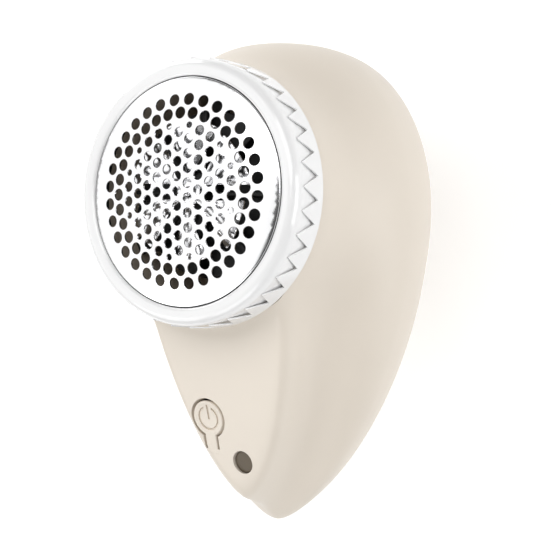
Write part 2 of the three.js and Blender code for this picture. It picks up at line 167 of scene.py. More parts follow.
def rounded(outline, radius, steps=5):
    """A closed outline with each corner rounded off; radius is one number or one for each corner."""
    corners = np.asarray(outline, float)
    radii = np.broadcast_to(radius, len(corners))
    points = []
    for i, corner in enumerate(corners):
        before = corners[i - 1] - corner
        after = corners[(i + 1) % len(corners)] - corner
        reach = min(radii[i], 0.45 * np.linalg.norm(before), 0.45 * np.linalg.norm(after))
        if reach < 1e-6:
            points.append(corner)
            continue
        start = corner + before / np.linalg.norm(before) * reach
        end = corner + after / np.linalg.norm(after) * reach
        for t in np.linspace(0, 1, steps):
            points.append((1 - t) ** 2 * start + 2 * t * (1 - t) * corner + t * t * end)
    return np.array(points)


def circle(centre, radius, sides):
    turn = np.arange(sides) * TAU / sides
    return np.array(centre) + radius * np.stack([np.cos(turn), np.sin(turn)], 1)


def turned(name, outline, sides=128, centre=(0, 0)):
    """A turned solid from a closed outline of (radius, height) points."""
    outline = np.asarray(outline, float)
    turn = np.arange(sides) * TAU / sides
    count = len(outline)
    across = centre[0] + np.outer(np.cos(turn), outline[:, 0])
    along = centre[1] + np.outer(np.sin(turn), outline[:, 0])
    height = np.broadcast_to(outline[:, 1], across.shape)
    points = np.stack([across, along, height], -1).reshape(-1, 3)
    faces = []
    for i in range(sides):
        j = (i + 1) % sides
        for k in range(count):
            m = (k + 1) % count
            if outline[k, 0] < 1e-6 and outline[m, 0] < 1e-6:
                continue
            faces.append((i * count + k, j * count + k, j * count + m, i * count + m))
    return solid(name, points, faces)


def prism(name, outline, low, high):
    """An upright solid with a flat outline between two heights."""
    outline = np.asarray(outline, float)
    count = len(outline)
    points = np.concatenate([np.column_stack([outline, np.full(count, z)]) for z in (low, high)])
    faces = [(i, (i + 1) % count, count + (i + 1) % count, count + i) for i in range(count)]
    faces.append(tuple(reversed(range(count))))
    faces.append(tuple(range(count, 2 * count)))
    return solid(name, points, faces)


def brick(name, low, high, radius=0.4):
    """A box with rounded edges."""
    low, high = np.array(low, float), np.array(high, float)
    work = bmesh.new()
    bmesh.ops.create_cube(work, size=1)
    for vert in work.verts:
        vert.co = Vector((low + high) / 2 + np.array(vert.co) * (high - low))
    bmesh.ops.bevel(
        work, geom=work.edges, offset=radius, segments=3, profile=0.5, affect="EDGES", clamp_overlap=True
    )
    mesh = bpy.data.meshes.new(name)
    work.to_mesh(mesh)
    work.free()
    made = bpy.data.objects.new(name, mesh)
    bpy.context.scene.collection.objects.link(made)
    return made


def inside_outline(points, outline):
    """Which points lie inside a closed outline."""
    x, y = points[:, 0][:, None], points[:, 1][:, None]
    a, b = outline, np.roll(outline, -1, 0)
    crosses = (a[:, 1] > y) != (b[:, 1] > y)
    rise = np.where(b[:, 1] == a[:, 1], 1, b[:, 1] - a[:, 1])
    at = a[:, 0] + (y - a[:, 1]) * (b[:, 0] - a[:, 0]) / rise
    return (crosses & (x < at)).sum(1) % 2 == 1


def edge_distance(points, outline, closed=True):
    """Distance of each point from an outline's nearest edge."""
    ends = np.roll(outline, -1, 0) if closed else outline[1:]
    starts = outline if closed else outline[:-1]
    along = ends - starts
    length = np.maximum((along ** 2).sum(1), 1e-12)
    offset = points[:, None] - starts
    t = np.clip((offset * along).sum(-1) / length, 0, 1)
    return np.linalg.norm(offset - t[..., None] * along, axis=-1).min(1)


def grid_points(outline, spacing):
    """A staggered grid of points that fills an outline's box."""
    low, high = outline.min(0), outline.max(0)
    rows = np.arange(low[1], high[1], spacing * math.sqrt(0.75))
    points = []
    for i, y in enumerate(rows):
        xs = np.arange(low[0] + (i % 2) * spacing / 2, high[0], spacing)
        points.append(np.column_stack([xs, np.full(len(xs), y)]))
    return np.concatenate(points)


def sheet(name, outline, top, bottom, spacing, holes=(), lines=()):
    """A closed solid between two height functions over a flat outline.

    Holes go right through it, and lines are extra outlines that its edges follow.
    """
    loops = [outline, *holes, *lines]
    fill = grid_points(outline, spacing)
    clear = np.min([edge_distance(fill, loop) for loop in loops], 0) > spacing * 0.35
    fill = fill[clear & inside_outline(fill, outline)]
    for hole in holes:
        fill = fill[~inside_outline(fill, hole)]
    edges = []
    start = 0
    for loop in loops:
        edges += [(start + i, start + (i + 1) % len(loop)) for i in range(len(loop))]
        start += len(loop)
    flat = np.concatenate([*loops, fill])
    spots, _, triangles, _, _, _ = delaunay_2d_cdt([Vector(p) for p in flat], edges, [], 0, 1e-5)
    flat = np.array([tuple(p) for p in spots])
    triangles = np.array([tuple(t) for t in triangles])
    middle = flat[triangles].mean(1)
    keep = inside_outline(middle, outline)
    for hole in holes:
        keep &= ~inside_outline(middle, hole)
    triangles = triangles[keep]
    count = len(flat)
    points = np.concatenate([
        np.column_stack([flat, top(flat)]),
        np.column_stack([flat, bottom(flat)]),
    ])
    sides = np.concatenate([triangles[:, [i, (i + 1) % 3]] for i in range(3)])
    present = {tuple(side) for side in sides.tolist()}
    rim = [side for side in present if (side[1], side[0]) not in present]
    faces = [tuple(t) for t in triangles.tolist()]
    faces += [tuple(count + i for i in reversed(t)) for t in triangles.tolist()]
    faces += [(b, a, count + a, count + b) for a, b in sorted(rim)]
    made = solid(name, points, faces)
    drop_loose(made)
    return made


def drop_loose(made):
    """Removes points that no face uses."""
    work = bmesh.new()
    work.from_mesh(made.data)
    loose = [vert for vert in work.verts if not vert.link_faces]
    bmesh.ops.delete(work, geom=loose, context="VERTS")
    work.to_mesh(made.data)
    work.free()


def turn_about_z(made, degrees):
    made.data.transform(Matrix.Rotation(math.radians(degrees), 4, "Z"))
    return made


def keep(made, body, slot, look, *nodes, sharp=35):
    """Finishes a piece: metres, smooth shading with sharp edges, its material, and its CAD body."""
    made.data.transform(Matrix.Scale(MM, 4))
    made.data.shade_smooth()
    made.data.set_sharp_from_angle(angle=math.radians(sharp))
    made.data.materials.clear()
    made.data.materials.append(look)
    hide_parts(*nodes)
    if body:
        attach(made, body)
    return made


# ---- materials ----
def look(name, colour, rough, metal=0.0, tint=0.03, patch=120.0, grain=0.0, edge=0.0, **sockets):
    """A moulded or metal finish: soft colour patches, uneven gloss, a fine grain and rounded edges."""
    made = bpy.data.materials.new(name)
    made.use_nodes = True
    nodes, links = made.node_tree.nodes, made.node_tree.links
    shader = nodes["Principled BSDF"]
    shader.inputs["Metallic"].default_value = metal
    for socket, value in sockets.items():
        shader.inputs[socket.replace("_", " ")].default_value = value
    place = nodes.new("ShaderNodeTexCoord")
    patches = nodes.new("ShaderNodeTexNoise")
    patches.inputs["Scale"].default_value = patch
    patches.inputs["Detail"].default_value = 4
    links.new(place.outputs["Object"], patches.inputs["Vector"])
    colours = nodes.new("ShaderNodeValToRGB")
    colours.color_ramp.elements[0].position = 0.3
    colours.color_ramp.elements[1].position = 0.7
    colours.color_ramp.elements[0].color = (*[c * (1 - tint) for c in colour], 1)
    colours.color_ramp.elements[1].color = (*[min(1, c * (1 + tint)) for c in colour], 1)
    links.new(patches.outputs["Fac"], colours.inputs["Fac"])
    links.new(colours.outputs["Color"], shader.inputs["Base Color"])
    gloss = nodes.new("ShaderNodeMapRange")
    gloss.inputs["To Min"].default_value = rough * 0.88
    gloss.inputs["To Max"].default_value = rough * 1.12
    links.new(patches.outputs["Fac"], gloss.inputs["Value"])
    links.new(gloss.outputs["Result"], shader.inputs["Roughness"])
    normal = None
    if edge:
        soft = nodes.new("ShaderNodeBevel")
        soft.samples = 6
        soft.inputs["Radius"].default_value = edge * MM
        normal = soft.outputs["Normal"]
    if grain:
        pores = nodes.new("ShaderNodeTexNoise")
        pores.inputs["Scale"].default_value = 2500
        pores.inputs["Detail"].default_value = 2
        links.new(place.outputs["Object"], pores.inputs["Vector"])
        bump = nodes.new("ShaderNodeBump")
        bump.inputs["Strength"].default_value = 0.6
        bump.inputs["Distance"].default_value = grain * MM
        links.new(pores.outputs["Fac"], bump.inputs["Height"])
        if normal:
            links.new(normal, bump.inputs["Normal"])
        normal = bump.outputs["Normal"]
    if normal:
        links.new(normal, shader.inputs["Normal"])
    return made


CREAM = (0.76, 0.69, 0.60)
cream = look("satin cream plastic", CREAM, 0.42, tint=0.012, patch=60, grain=0.006, edge=0.25)
tongue_cream = look("satin cream button", CREAM, 0.42, tint=0.012, patch=60, grain=0.006)
drawer_cream = look("satin cream drawer", CREAM, 0.42, tint=0.012, patch=60, grain=0.006, edge=0.2)
gloss_white = look("gloss white plastic", (0.86, 0.86, 0.86), 0.16, tint=0.006, patch=80, Coat_Weight=0.5)
foil_steel = look("polished foil", (0.93, 0.93, 0.94), 0.14, 1.0, tint=0.02, patch=300)
chrome = look("bright cutter steel", (0.93, 0.93, 0.94), 0.12, 1.0, tint=0.03, patch=260, edge=0.08)
taupe = look("taupe chamber plastic", (0.62, 0.54, 0.45), 0.5, tint=0.05, patch=200, grain=0.01)
black = (0.018, 0.018, 0.018)
black_plastic = look("black plastic", black, 0.42, tint=0.2, patch=240, grain=0.01, edge=0.15)
# Dark rubber for the real rubber pieces, also used as painted shade in the foil ring's groove
rubber_and_painted_shade = look("soft rubber and painted groove shade", (0.03, 0.029, 0.028), 0.75, tint=0.25, patch=400, grain=0.02)
steel = look("plated steel", (0.56, 0.56, 0.57), 0.3, 1.0, tint=0.08, patch=500, edge=0.1)
wrap = look("blue battery wrap", (0.03, 0.1, 0.36), 0.3, tint=0.15, patch=150, edge=0.3)
board = look("green board", (0.012, 0.12, 0.05), 0.35, tint=0.25, patch=900, grain=0.01)
lamp = look("lamp plastic", (0.85, 0.85, 0.8), 0.25, tint=0.03, patch=300)
smoke = look("smoked lens", (0.105, 0.08, 0.05), 0.5, tint=0.06, patch=400)


# ---- body surface ----
def smooth_max(a, b, softness):
    h = np.maximum(softness - np.abs(a - b), 0) / softness
    return np.maximum(a, b) + h * h * softness / 4


def smooth_min(a, b, softness):
    return -smooth_max(-a, -b, softness)


def swell(form, s):
    """Half size at a share s of the body's length."""
    size, a, b = form
    peak = a / (a + b)
    return size * (s / peak) ** a * ((1 - s) / (1 - peak)) ** b


def inside_pebble(p):
    x, y, z = np.moveaxis(p, -1, 0)
    s = (y - TIP) / (TOP - TIP)
    within = (s > 0) & (s < 1)
    s = np.clip(s, 1e-6, 1 - 1e-6)
    h = z - MIDDLE - TILT * y
    power = np.where(h > 0, FRONT_POWER, BACK_POWER)
    through = np.abs(h) / np.where(h > 0, swell(FRONT, s), swell(BACK, s))
    across = np.abs(x) / swell(HALF, s)
    return within & (across ** power + through ** power < 1)


def inside_panel_flank(p):
    x, y, z = np.moveaxis(p, -1, 0)
    grow = PANEL_FLARE * np.maximum(0, PANEL_HEIGHT + PANEL_SLOPE * y - np.maximum(z, RAY_Z))
    across = np.abs(x) / (PANEL_HALF + grow)
    along = np.abs(y) / (np.where(y < 0, PANEL_REACH + PANEL_RUN_OUT * grow, PANEL_BEHIND + grow))
    below = np.maximum(0, RAY_Z - z) / PANEL_UNDER
    return across ** PANEL_ACROSS + along ** PANEL_ALONG + below ** 2 < 1


def reach(inside, d):
    """Distance along each ray from the middle of the body to where an inside test ends."""
    low, high = np.zeros(d.shape[:-1]), np.full(d.shape[:-1], FAR)
    for _ in range(26):
        t = (low + high) / 2
        hit = inside(t[..., None] * d + (0, 0, RAY_Z))
        low, high = np.where(hit, t, low), np.where(hit, high, t)
    return low


def body_reach(d):
    """Distance from the middle of the body to its surface along each ray."""
    level = np.hypot(d[..., 0], d[..., 1])
    up = d[..., 2]
    base = NECK_R + NECK_FLARE * (NECK_TOP - RAY_Z)
    neck = base / np.where(up > 0, np.maximum(level + NECK_FLARE * up, 1e-3), 1)
    rise = up - PANEL_SLOPE * d[..., 1]
    panel_top = np.where(
        rise * FAR > PANEL_HEIGHT - RAY_Z, (PANEL_HEIGHT - RAY_Z) / np.maximum(rise, 1e-6), FAR
    )
    panel = smooth_min(panel_top, reach(inside_panel_flank, d), PANEL_EDGE)
    surface = smooth_max(smooth_max(reach(inside_pebble, d), neck, NECK_BLEND), panel, PANEL_BLEND)
    floor = np.where(up < 0, (RAY_Z - BACK_Z) / np.maximum(-up, 1e-6), FAR)
    ceiling = np.where(up > 0, (NECK_TOP + NECK_SPARE - RAY_Z) / np.maximum(up, 1e-6), FAR)
    return np.minimum(smooth_min(surface, floor, BACK_EDGE), ceiling)


def body_solid(name, inset, around, rows):
    """The whole body as one closed solid, drawn in by the inset."""
    polar = np.linspace(0, math.pi, rows + 1)[1:-1, None]
    turn = np.arange(around)[None] * TAU / around
    d = np.stack([np.sin(polar) * np.cos(turn), np.sin(polar) * np.sin(turn), np.cos(polar) + 0 * turn], -1)
    d = np.concatenate([[[0, 0, 1]], d.reshape(-1, 3), [[0, 0, -1]]])
    points = body_reach(d)[:, None] * d + (0, 0, RAY_Z)
    ring = np.arange((rows - 1) * around).reshape(rows - 1, around) + 1
    next_ring = np.roll(ring, -1, 1)
    quads = np.stack([ring[:-1], ring[1:], next_ring[1:], next_ring[:-1]], -1).reshape(-1, 4)
    faces = quads.tolist()
    faces += [(0, a, b) for a, b in zip(ring[0].tolist(), next_ring[0].tolist())]
    faces += [(len(d) - 1, b, a) for a, b in zip(ring[-1].tolist(), next_ring[-1].tolist())]
    made = solid(name, points, faces)
    if inset:
        count = len(made.data.vertices)
        place, normal = np.empty(count * 3), np.empty(count * 3)
        made.data.vertices.foreach_get("co", place)
        made.data.vertices.foreach_get("normal", normal)
        made.data.vertices.foreach_set("co", place - inset * normal)
        made.data.update()
    return made


def surface_height(flat):
    """Height of the body's front surface above each point of the handle."""
    low, high = np.full(len(flat), RAY_Z), np.full(len(flat), NECK_TOP)
    for _ in range(22):
        z = (low + high) / 2
        offset = np.column_stack([flat, z - RAY_Z])
        length = np.linalg.norm(offset, axis=1)
        within = length < body_reach(offset / length[:, None])
        low, high = np.where(within, z, low), np.where(within, high, z)
    return low


# ---- shells ----
def parting_half(side):
    """Everything above (side 1) or below (side -1) the parting plane."""
    half = brick("half", (-100, -150, -50), (100, 150, 50), 1)
    shift = Matrix.Translation((0, 0, side * (50 + GAP / 2)))
    tilt = Matrix.Rotation(math.atan(PARTING_SLOPE), 4, "X")
    half.data.transform(Matrix.Translation((0, 0, PARTING_Z)) @ tilt @ shift)
    return half


def keyhole(inset, root):
    """Keyhole outline of the button: a round head on a straight neck."""
    radius, half = BUTTON_R - inset, BUTTON_NECK - inset
    start = math.asin(half / radius)
    turn = np.linspace(start - math.pi / 2, 1.5 * math.pi - start, 72)
    head = BUTTON + radius * np.stack([np.cos(turn), np.sin(turn)], 1)
    return np.concatenate([[[BUTTON[0] + half, root]], head, [[BUTTON[0] - half, root]]])


def socket_hole(name, grow):
    """Rounded slot-shaped prism along Y at the charging socket."""
    low, high = box("charging_socket")
    middle = (low + high) / 2
    half = (high - low) / 2 + grow
    flat = [(-half[0], -half[2]), (half[0], -half[2]), (half[0], half[2]), (-half[0], half[2])]
    made = prism(name, rounded(flat, 1.3, 8), 0, 20)
    made.data.transform(
        Matrix.Translation((middle[0], low[1] + 5, middle[2])) @ Matrix.Rotation(math.pi / 2, 4, "X")
    )
    return made


outer = body_solid("outer", 0, 480, 260)
combine(outer, turned("above_neck", [(0, NECK_TOP), (60, NECK_TOP), (60, 80), (0, 80)], 64))
wall = copy_of(outer, "wall")
combine(wall, body_solid("inner", WALL, 240, 130))


def front_shell():
    """Front of the casing with its screw bosses, the head's bore and the holes for what sits in it."""
    shell = copy_of(wall, "front_shell_surface")
    combine(shell, parting_half(1), "INTERSECT")
    for x, y, seat in SCREWS:
        join = seat + POST_H
        foot, head = join + GAP, NECK_TOP - 1
        boss = turned("boss", [(0, foot), (POST_R, foot), (POST_R, head), (0, head)], 32, (x, y))
        combine(boss, outer, "INTERSECT", keep_tool=True)
        combine(shell, boss, "UNION")
        pilot = [(0, join), (SCREW_WAY_R, join), (SCREW_WAY_R, join + 12), (0, join + 12)]
        combine(shell, turned("pilot", pilot, 24, (x, y)))
    bore = CHAMBER_R + 0.4
    combine(shell, turned("bore", [(0, 27), (bore, 27), (bore, 60), (0, 60)], 192))
    combine(shell, prism("slot", keyhole(0, BUTTON_ROOT), 30, 60))
    combine(shell, prism("lens_hole", circle(LENS, LENS_R, 72), 26, 60))
    combine(shell, socket_hole("socket_hole", GAP))
    return keep(shell, "body", "shell_cream", cream, "front_shell")


def rear_shell():
    """Back cover with a sleeve round the lint box and posts for the four screws."""
    cover = wall
    cover.name = "rear_shell_surface"
    combine(cover, parting_half(-1), "INTERSECT")
    hole = LINT_R + 0.5
    combine(cover, turned("lint_hole", [(0, -1), (hole, -1), (hole, 10), (0, 10)], 192))
    sleeve = rounded([(hole, 2.2), (hole + 1.4, 2.2), (hole + 1.4, 22), (hole, 22)], [0, 0, 0.5, 0.5])
    combine(cover, turned("sleeve", sleeve, 192), "UNION")
    for x, y, seat in SCREWS:
        top = seat + POST_H
        post = [(0, seat), (POST_R, seat), (POST_R, top), (0, top)]
        combine(cover, turned("post", post, 48, (x, y)), "UNION")
        sink = rounded([(0, -1), (2.5, -1), (2.5, seat), (0, seat)], [0, 0, 0.2, 0])
        combine(cover, turned("sink", sink, 48, (x, y)))
        way = [(0, -1), (SCREW_WAY_R, -1), (SCREW_WAY_R, 30), (0, 30)]
        combine(cover, turned("way", way, 32, (x, y)))
    return keep(cover, "body", "shell_cream", cream, "rear_shell")


# ---- button and indicator ----
SYMBOL_R, SYMBOL_GAP = 2.75, 28  # radius of the engraved ring, half angle of its opening in degrees
STROKE, STROKE_SIDE, STROKE_DEPTH = 0.27, 0.06, 0.5  # half width, sloping side, depth
BAR = np.array([[0, 3.1], [0, -0.1]])  # ends of the engraved upright
DISH_R, DISH_DEPTH = 3.75, 0.42  # shallow hollow that the fingertip finds


def ring_arc(count):
    turn = np.radians(np.linspace(90 + SYMBOL_GAP, 450 - SYMBOL_GAP, count))
    return BUTTON + SYMBOL_R * np.stack([np.cos(turn), np.sin(turn)], 1)


def stroke_outline(line, half):
    """Closed outline with round ends at one distance from an open line."""
    along = np.gradient(line, axis=0)
    along /= np.linalg.norm(along, axis=1)[:, None]
    side = np.stack([-along[:, 1], along[:, 0]], 1)
    caps = []
    for i, sign in ((-1, 1), (0, -1)):
        turn = np.linspace(math.pi / 2, -math.pi / 2, 7)[1:-1]
        arc = np.outer(np.cos(turn), along[i]) + np.outer(np.sin(turn), side[i])
        caps.append(line[i] + half * sign * arc)
    return np.concatenate([line + half * side, caps[0], (line - half * side)[::-1], caps[1]])


def button_top(flat):
    """Height of the button: the body's surface, rolled off at the slot, dished and engraved."""
    height = surface_height(flat)
    rim = keyhole(SLOT, BUTTON_ROOT)[1:-1]
    rim = np.concatenate([[[rim[0, 0], BUTTON_ROOT - 5]], rim, [[rim[-1, 0], BUTTON_ROOT - 5]]])
    roll = 0.3
    short = np.clip(roll - edge_distance(flat, rim, closed=False), 0, roll)
    height -= np.where(flat[:, 1] > BUTTON_ROOT, roll - np.sqrt(roll ** 2 - short ** 2), 0)
    away = np.linalg.norm(flat - BUTTON, axis=1) / DISH_R
    height -= DISH_DEPTH * np.clip(1 - away ** 2, 0, 1) ** 0.8
    for line in (ring_arc(60), BUTTON + BAR):
        deep = (STROKE - edge_distance(flat, line, closed=False)) / STROKE_SIDE
        height -= STROKE_DEPTH * np.clip(deep, 0, 1)
    return height + 0.01 * np.clip(BUTTON_ROOT + 1 - flat[:, 1], 0, 1)


def button_underside(flat):
    """The tongue is as thick as the wall, and only a skin where it runs over the shell."""
    thick = np.where(flat[:, 1] > BUTTON_ROOT + 0.05, WALL, 0.03)
    return surface_height(flat) - thick


def power_button():
    """Spring tongue that runs on over the shell as a thin skin, so that its root shows no seam."""
    outline = keyhole(SLOT, BUTTON_ROOT - 1.2)
    lines = [circle(BUTTON, DISH_R, 64)]
    for line in (ring_arc(60), np.linspace(BUTTON + BAR[0], BUTTON + BAR[1], 8)):
        lines += [stroke_outline(line, STROKE), stroke_outline(line, STROKE - STROKE_SIDE)]
    half = BUTTON_NECK - SLOT - 0.02
    across = np.linspace(-half, half, 23)
    step = [(BUTTON[0] + x, BUTTON_ROOT + 0.02) for x in across]
    step += [(BUTTON[0] + x, BUTTON_ROOT + 0.08) for x in across[::-1]]
    lines.append(np.array(step))
    made = sheet("power_button_surface", outline, button_top, button_underside, 0.24, lines=lines)
    low = PLUNGER_TOP + GAP
    post = rounded([(0, low), (1.2, low), (1.2, 39.6), (0, 39.6)], [0, 0.2, 0, 0])
    combine(made, turned("post", post, 32, SWITCH), "UNION")
    keep(made, None, "button_cream", tongue_cream, "power_button")
    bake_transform(made)


def indicator_lens():
    """Smoked lens, sunk a little below the panel and rolled off round its edge."""
    radius = LENS_R - 0.06

    def top(flat):
        away = np.linalg.norm(flat - LENS, axis=1)
        roll = 0.35
        short = np.clip(roll - (radius - away), 0, roll)
        return surface_height(flat) - LENS_SUNK - (roll - np.sqrt(roll ** 2 - short ** 2))

    def bottom(flat):
        return np.full(len(flat), LENS_LOW_Z)

    rings = [circle(LENS, radius - inset, 72) for inset in (0.06, 0.18, 0.34)]
    made = sheet("indicator_lens_surface", circle(LENS, radius, 72), top, bottom, 0.3, lines=rings)
    return keep(made, "body", "lens_smoke", smoke, "indicator_lens")


# ---- cutting head ----
def foil_top(flat):
    """Height of the foil's pressed dome."""
    r = np.minimum(np.linalg.norm(flat, axis=-1), FOIL_R)
    edge = math.sqrt(FOIL_DOME_R ** 2 - FOIL_R ** 2)
    return FOIL_EDGE_Z + np.sqrt(FOIL_DOME_R ** 2 - r ** 2) - edge


def foil_holes():
    """Two rings of holes round a staggered grid of smaller ones, each as (middle, radius)."""
    holes = []
    count, ring_hole = 32, 1.45
    for radius, phase in ((21.6, 8.9), (18.4, 3.3)):
        for middle in circle((0, 0), radius, count) @ rotation(phase):
            holes.append((middle, ring_hole))
    pitch, grid_hole, small, grid_phase = 3.456, 1.25, 0.8, 3.4
    full, last, small_circle = 15.3, 16.0, 15.6
    column = pitch * math.sqrt(0.75)
    most = math.ceil(last / column)
    for i in range(-most, most + 1):
        for j in range(-most, most + 1):
            middle = np.array([i * column, (j + (abs(i) % 2) / 2) * pitch]) @ rotation(grid_phase)
            away = np.linalg.norm(middle)
            if away < full:
                holes.append((middle, grid_hole))
            elif away < last:
                holes.append((middle * small_circle / away, small))
    return holes


def rotation(degrees):
    """Matrix that turns flat points when they are multiplied by it."""
    c, s = math.cos(math.radians(degrees)), math.sin(math.radians(degrees))
    return np.array([[c, s], [-s, c]])


def foil():
    """Domed sheet with round holes and a rolled edge."""
    holes = [circle(middle, r, 24) for middle, r in foil_holes()]
    outline = circle((0, 0), FOIL_R, 180)
    lines = [circle((0, 0), FOIL_R - inset, 180) for inset in (0.12, 0.3)]

    def top(flat):
        short = np.clip(0.3 - (FOIL_R - np.linalg.norm(flat, axis=1)), 0, 0.3)
        return foil_top(flat) - 0.5 * (0.3 - np.sqrt(0.09 - short ** 2))

    made = sheet("foil_surface", outline, top, lambda f: foil_top(f) - FOIL_T, 1.0, holes=holes, lines=lines)
    return keep(made, "head_ring", "foil_steel", foil_steel, "foil", sharp=40)


def foil_ring():
    """Round-lipped ring that holds the foil, with its groove and seat below the foil coloured dark rubber as
    painted shade.
    """
    seat = RING_LOW[2] + 6.6
    lip_r, lip_h = 29.2, 3.0
    turn = np.linspace(0, math.pi / 2, 14)
    across = lip_r + (RING_R - lip_r) * np.cos(turn)
    lip = np.stack([across, RING_HIGH[2] - lip_h + lip_h * np.sin(turn)], 1)
    low = RING_LOW[2]
    foot = rounded([(25.9, seat), (29, seat), (29, low), (RING_R - 0.3, low)], [0.3, 0.3, 0.3, 0.4])
    inner = rounded([(28, 64.4), (FOIL_R + 0.22, 63.9), (FOIL_R + 0.22, 63), (25.9, 63)], [0.5, 0.4, 0, 0.1])
    made = turned("foil_ring_surface", np.concatenate([foot, lip, inner]), 256)
    keep(made, "head_ring", "ring_white", gloss_white, "foil_ring")
    # Painted shade: the seat and groove below the foil's edge get the dark rubber colour in place of the
    # shadow that falls there
    made.data.materials.append(rubber_and_painted_shade)
    for face in made.data.polygons:
        within = face.center.xy.length < (FOIL_R + 0.24) * MM
        face.material_index = int(within and face.center.z < (FOIL_EDGE_Z - 0.2) * MM)
    return made


def grip_band():
    """Thin raised band with pointed teeth that reach forwards over the ring."""
    inner, outer_r = RING_R + 0.06, RING_R + 0.42
    steps = 14
    corner = np.linspace(0, 2, steps, endpoint=False)
    low = BAND_LOW[2]
    points = []
    for tooth in range(TEETH):
        for t in corner:
            rise = 1 - abs(t - 1)
            soft = smooth_min(smooth_max(rise, 0.0, 0.06), 1.0, 0.16)
            high = BAND_VALLEY + (BAND_HIGH[2] - BAND_VALLEY) * soft
            turn = math.radians(BAND_PHASE) + TAU / TEETH * (tooth + t / 2)
            for r, z in ((inner, low), (outer_r - 0.1, low), (outer_r, low + 0.15),
                         (outer_r, high - 0.12), (outer_r - 0.1, high), (inner, high)):
                points.append((r * math.cos(turn), r * math.sin(turn), z))
    count = 6
    columns = len(points) // count
    faces = []
    for i in range(columns):
        j = (i + 1) % columns
        for k in range(count):
            m = (k + 1) % count
            faces.append((i * count + k, j * count + k, j * count + m, i * count + m))
    made = solid("grip_band_surface", points, faces)
    return keep(made, "head_ring", "ring_white", gloss_white, "grip_band", sharp=30)


def cutter():
    """Six sloping leaves pressed from one bright sheet, on a small hub."""
    radius, hub_r, neck, half_gap = CUTTER_R, 3.4, 0.9, 1.8
    half = math.radians(30) - math.asin(half_gap / radius)
    swing = np.linspace(-half, half, 14)
    tip = radius * np.stack([np.cos(swing), np.sin(swing)], 1)
    lean = math.cos(math.radians(30))
    throat = 2 * (neck + half_gap * lean) * lean + half_gap / 2
    inner = hub_r - 0.6
    outline = np.concatenate([[(throat, neck), (inner, neck), (inner, -neck), (throat, -neck)], tip])
    outline = rounded(outline, [0.8, 0, 0, 0.8, 0.9] + [0] * 12 + [0.9], 4)
    middle, thick, tilt = 62.1, 0.5, 14

    def top(flat):
        return thick / 2 - 0.02 * flat[:, 1] ** 2

    def bottom(flat):
        return top(flat) - thick

    hub = rounded([(SHAFT_HOLE, 61.7), (hub_r, 61.7), (hub_r, 62.5), (SHAFT_HOLE, 62.5)], 0.15)
    made = turned("six_leaf_cutter_surface", hub, 64)
    for i in range(6):
        leaf = sheet("leaf", outline, top, bottom, 1.2)
        leaf.data.transform(Matrix.Rotation(math.radians(tilt), 4, "X"))
        leaf.data.transform(Matrix.Translation((0, 0, middle)))
        combine(made, turn_about_z(leaf, 60 * i + 30), "UNION")
    return keep(made, "rotor", "cutter_chrome", chrome, "six_leaf_cutter")


def impeller():
    """Round plate with a hub and eight vanes that throws the lint outwards."""
    plate = rounded([(SHAFT_HOLE, 53), (20, 53), (20, 54), (SHAFT_HOLE, 54)], 0.25)
    made = turned("impeller_surface", plate, 96)
    hub = rounded([(SHAFT_HOLE, 53.2), (5, 53.2), (5, 57.5), (SHAFT_HOLE, 57.5)], [0, 0, 0.5, 0.3])
    combine(made, turned("hub", hub, 64), "UNION")
    for i in range(8):
        vane = brick("vane", (4.3, -0.5, 53.8), (19.7, 0.5, 57.35), 0.22)
        combine(made, turn_about_z(vane, 45 * i), "UNION")
    return keep(made, "rotor", "dark_plastic", black_plastic, "impeller")


def spindle():
    """Motor shaft and the spacer that holds the cutter above the impeller."""
    shaft = rounded([(0, 41), (1, 41), (1, 63.2), (0, 63.2)], [0, 0.2, 0.35, 0])
    keep(turned("motor_shaft_surface", shaft, 32), "rotor", "cutter_chrome", chrome, "motor_shaft")
    spacer = rounded([(SHAFT_HOLE, 57.8), (3, 57.8), (3, 61.4), (SHAFT_HOLE, 61.4)], 0.2)
    made = turned("cutter_spacer_surface", spacer, 48)
    keep(made, "rotor", "dark_plastic", black_plastic, "cutter_spacer")


def lint_chamber():
    """Round cup under the cutter that narrows into the lint box."""
    bore = CHAMBER_R - 1.4
    outside = [(22.4, 28), (24.2, 28), (CHAMBER_R, 33), (CHAMBER_R, 59.8)]
    inside = [(bore, 59.8), (bore, 33.8), (22.4, 29.4)]
    outline = rounded(outside + inside, [0.2, 0.2, 1, 0.3, 0.3, 1.5, 0.3])
    made = turned("lint_chamber_surface", outline, 160)
    return keep(made, "body", "chamber_plastic", taupe, "lint_chamber")


# ---- back and handle ----
def lint_box():
    """Round drawer with two finger pockets either side of a grip bar in its base."""
    bore = LINT_R - 1.5
    outline = [(0, 0), (LINT_R, 0), (LINT_R, 26), (bore, 26), (bore, 2), (0, 2)]
    made = turned("lint_box_surface", rounded(outline, [0, 0.8, 0.3, 0.3, 1.2, 0], 7), 160)
    for side in (1, -1):
        turn = np.linspace(0.28, math.pi - 0.28, 24)
        pocket = 15 * np.stack([np.cos(turn), side * np.sin(turn)], 1)
        combine(made, prism("pocket", rounded(pocket, 1.5, 4), -1, 1.1))
    for i in range(12):
        rib = brick("rib", (LINT_R - 0.9, -0.5, 3), (LINT_R + 0.02, 0.5, 7), 0.2)
        combine(made, turn_about_z(rib, 30 * i), "UNION")
    return keep(made, "lint_drawer", "lint_box_cream", drawer_cream, "lint_box")


def case_screws():
    """Screws with a cross slot, sunk in the back cover."""
    for i, (x, y, seat) in enumerate(SCREWS):
        low = seat - 1.5
        outline = [(0, low), (2.1, low), (2.1, low + 1.2), (1, low + 1.4), (1, low + 13), (0, low + 13)]
        node = f"case_screw_{i + 1}"
        made = turned(node + "_surface", rounded(outline, [0, 0.5, 0.15, 0, 0.4, 0]), 40, (x, y))
        for turn in (0, 90):
            slot = brick("slot", (-1.3, -0.28, -1), (1.3, 0.28, 0.8), 0.12)
            turn_about_z(slot, turn + 20)
            slot.data.transform(Matrix.Translation((x, y, low)))
            combine(made, slot)
        keep(made, "body", "motor_steel", steel, node)


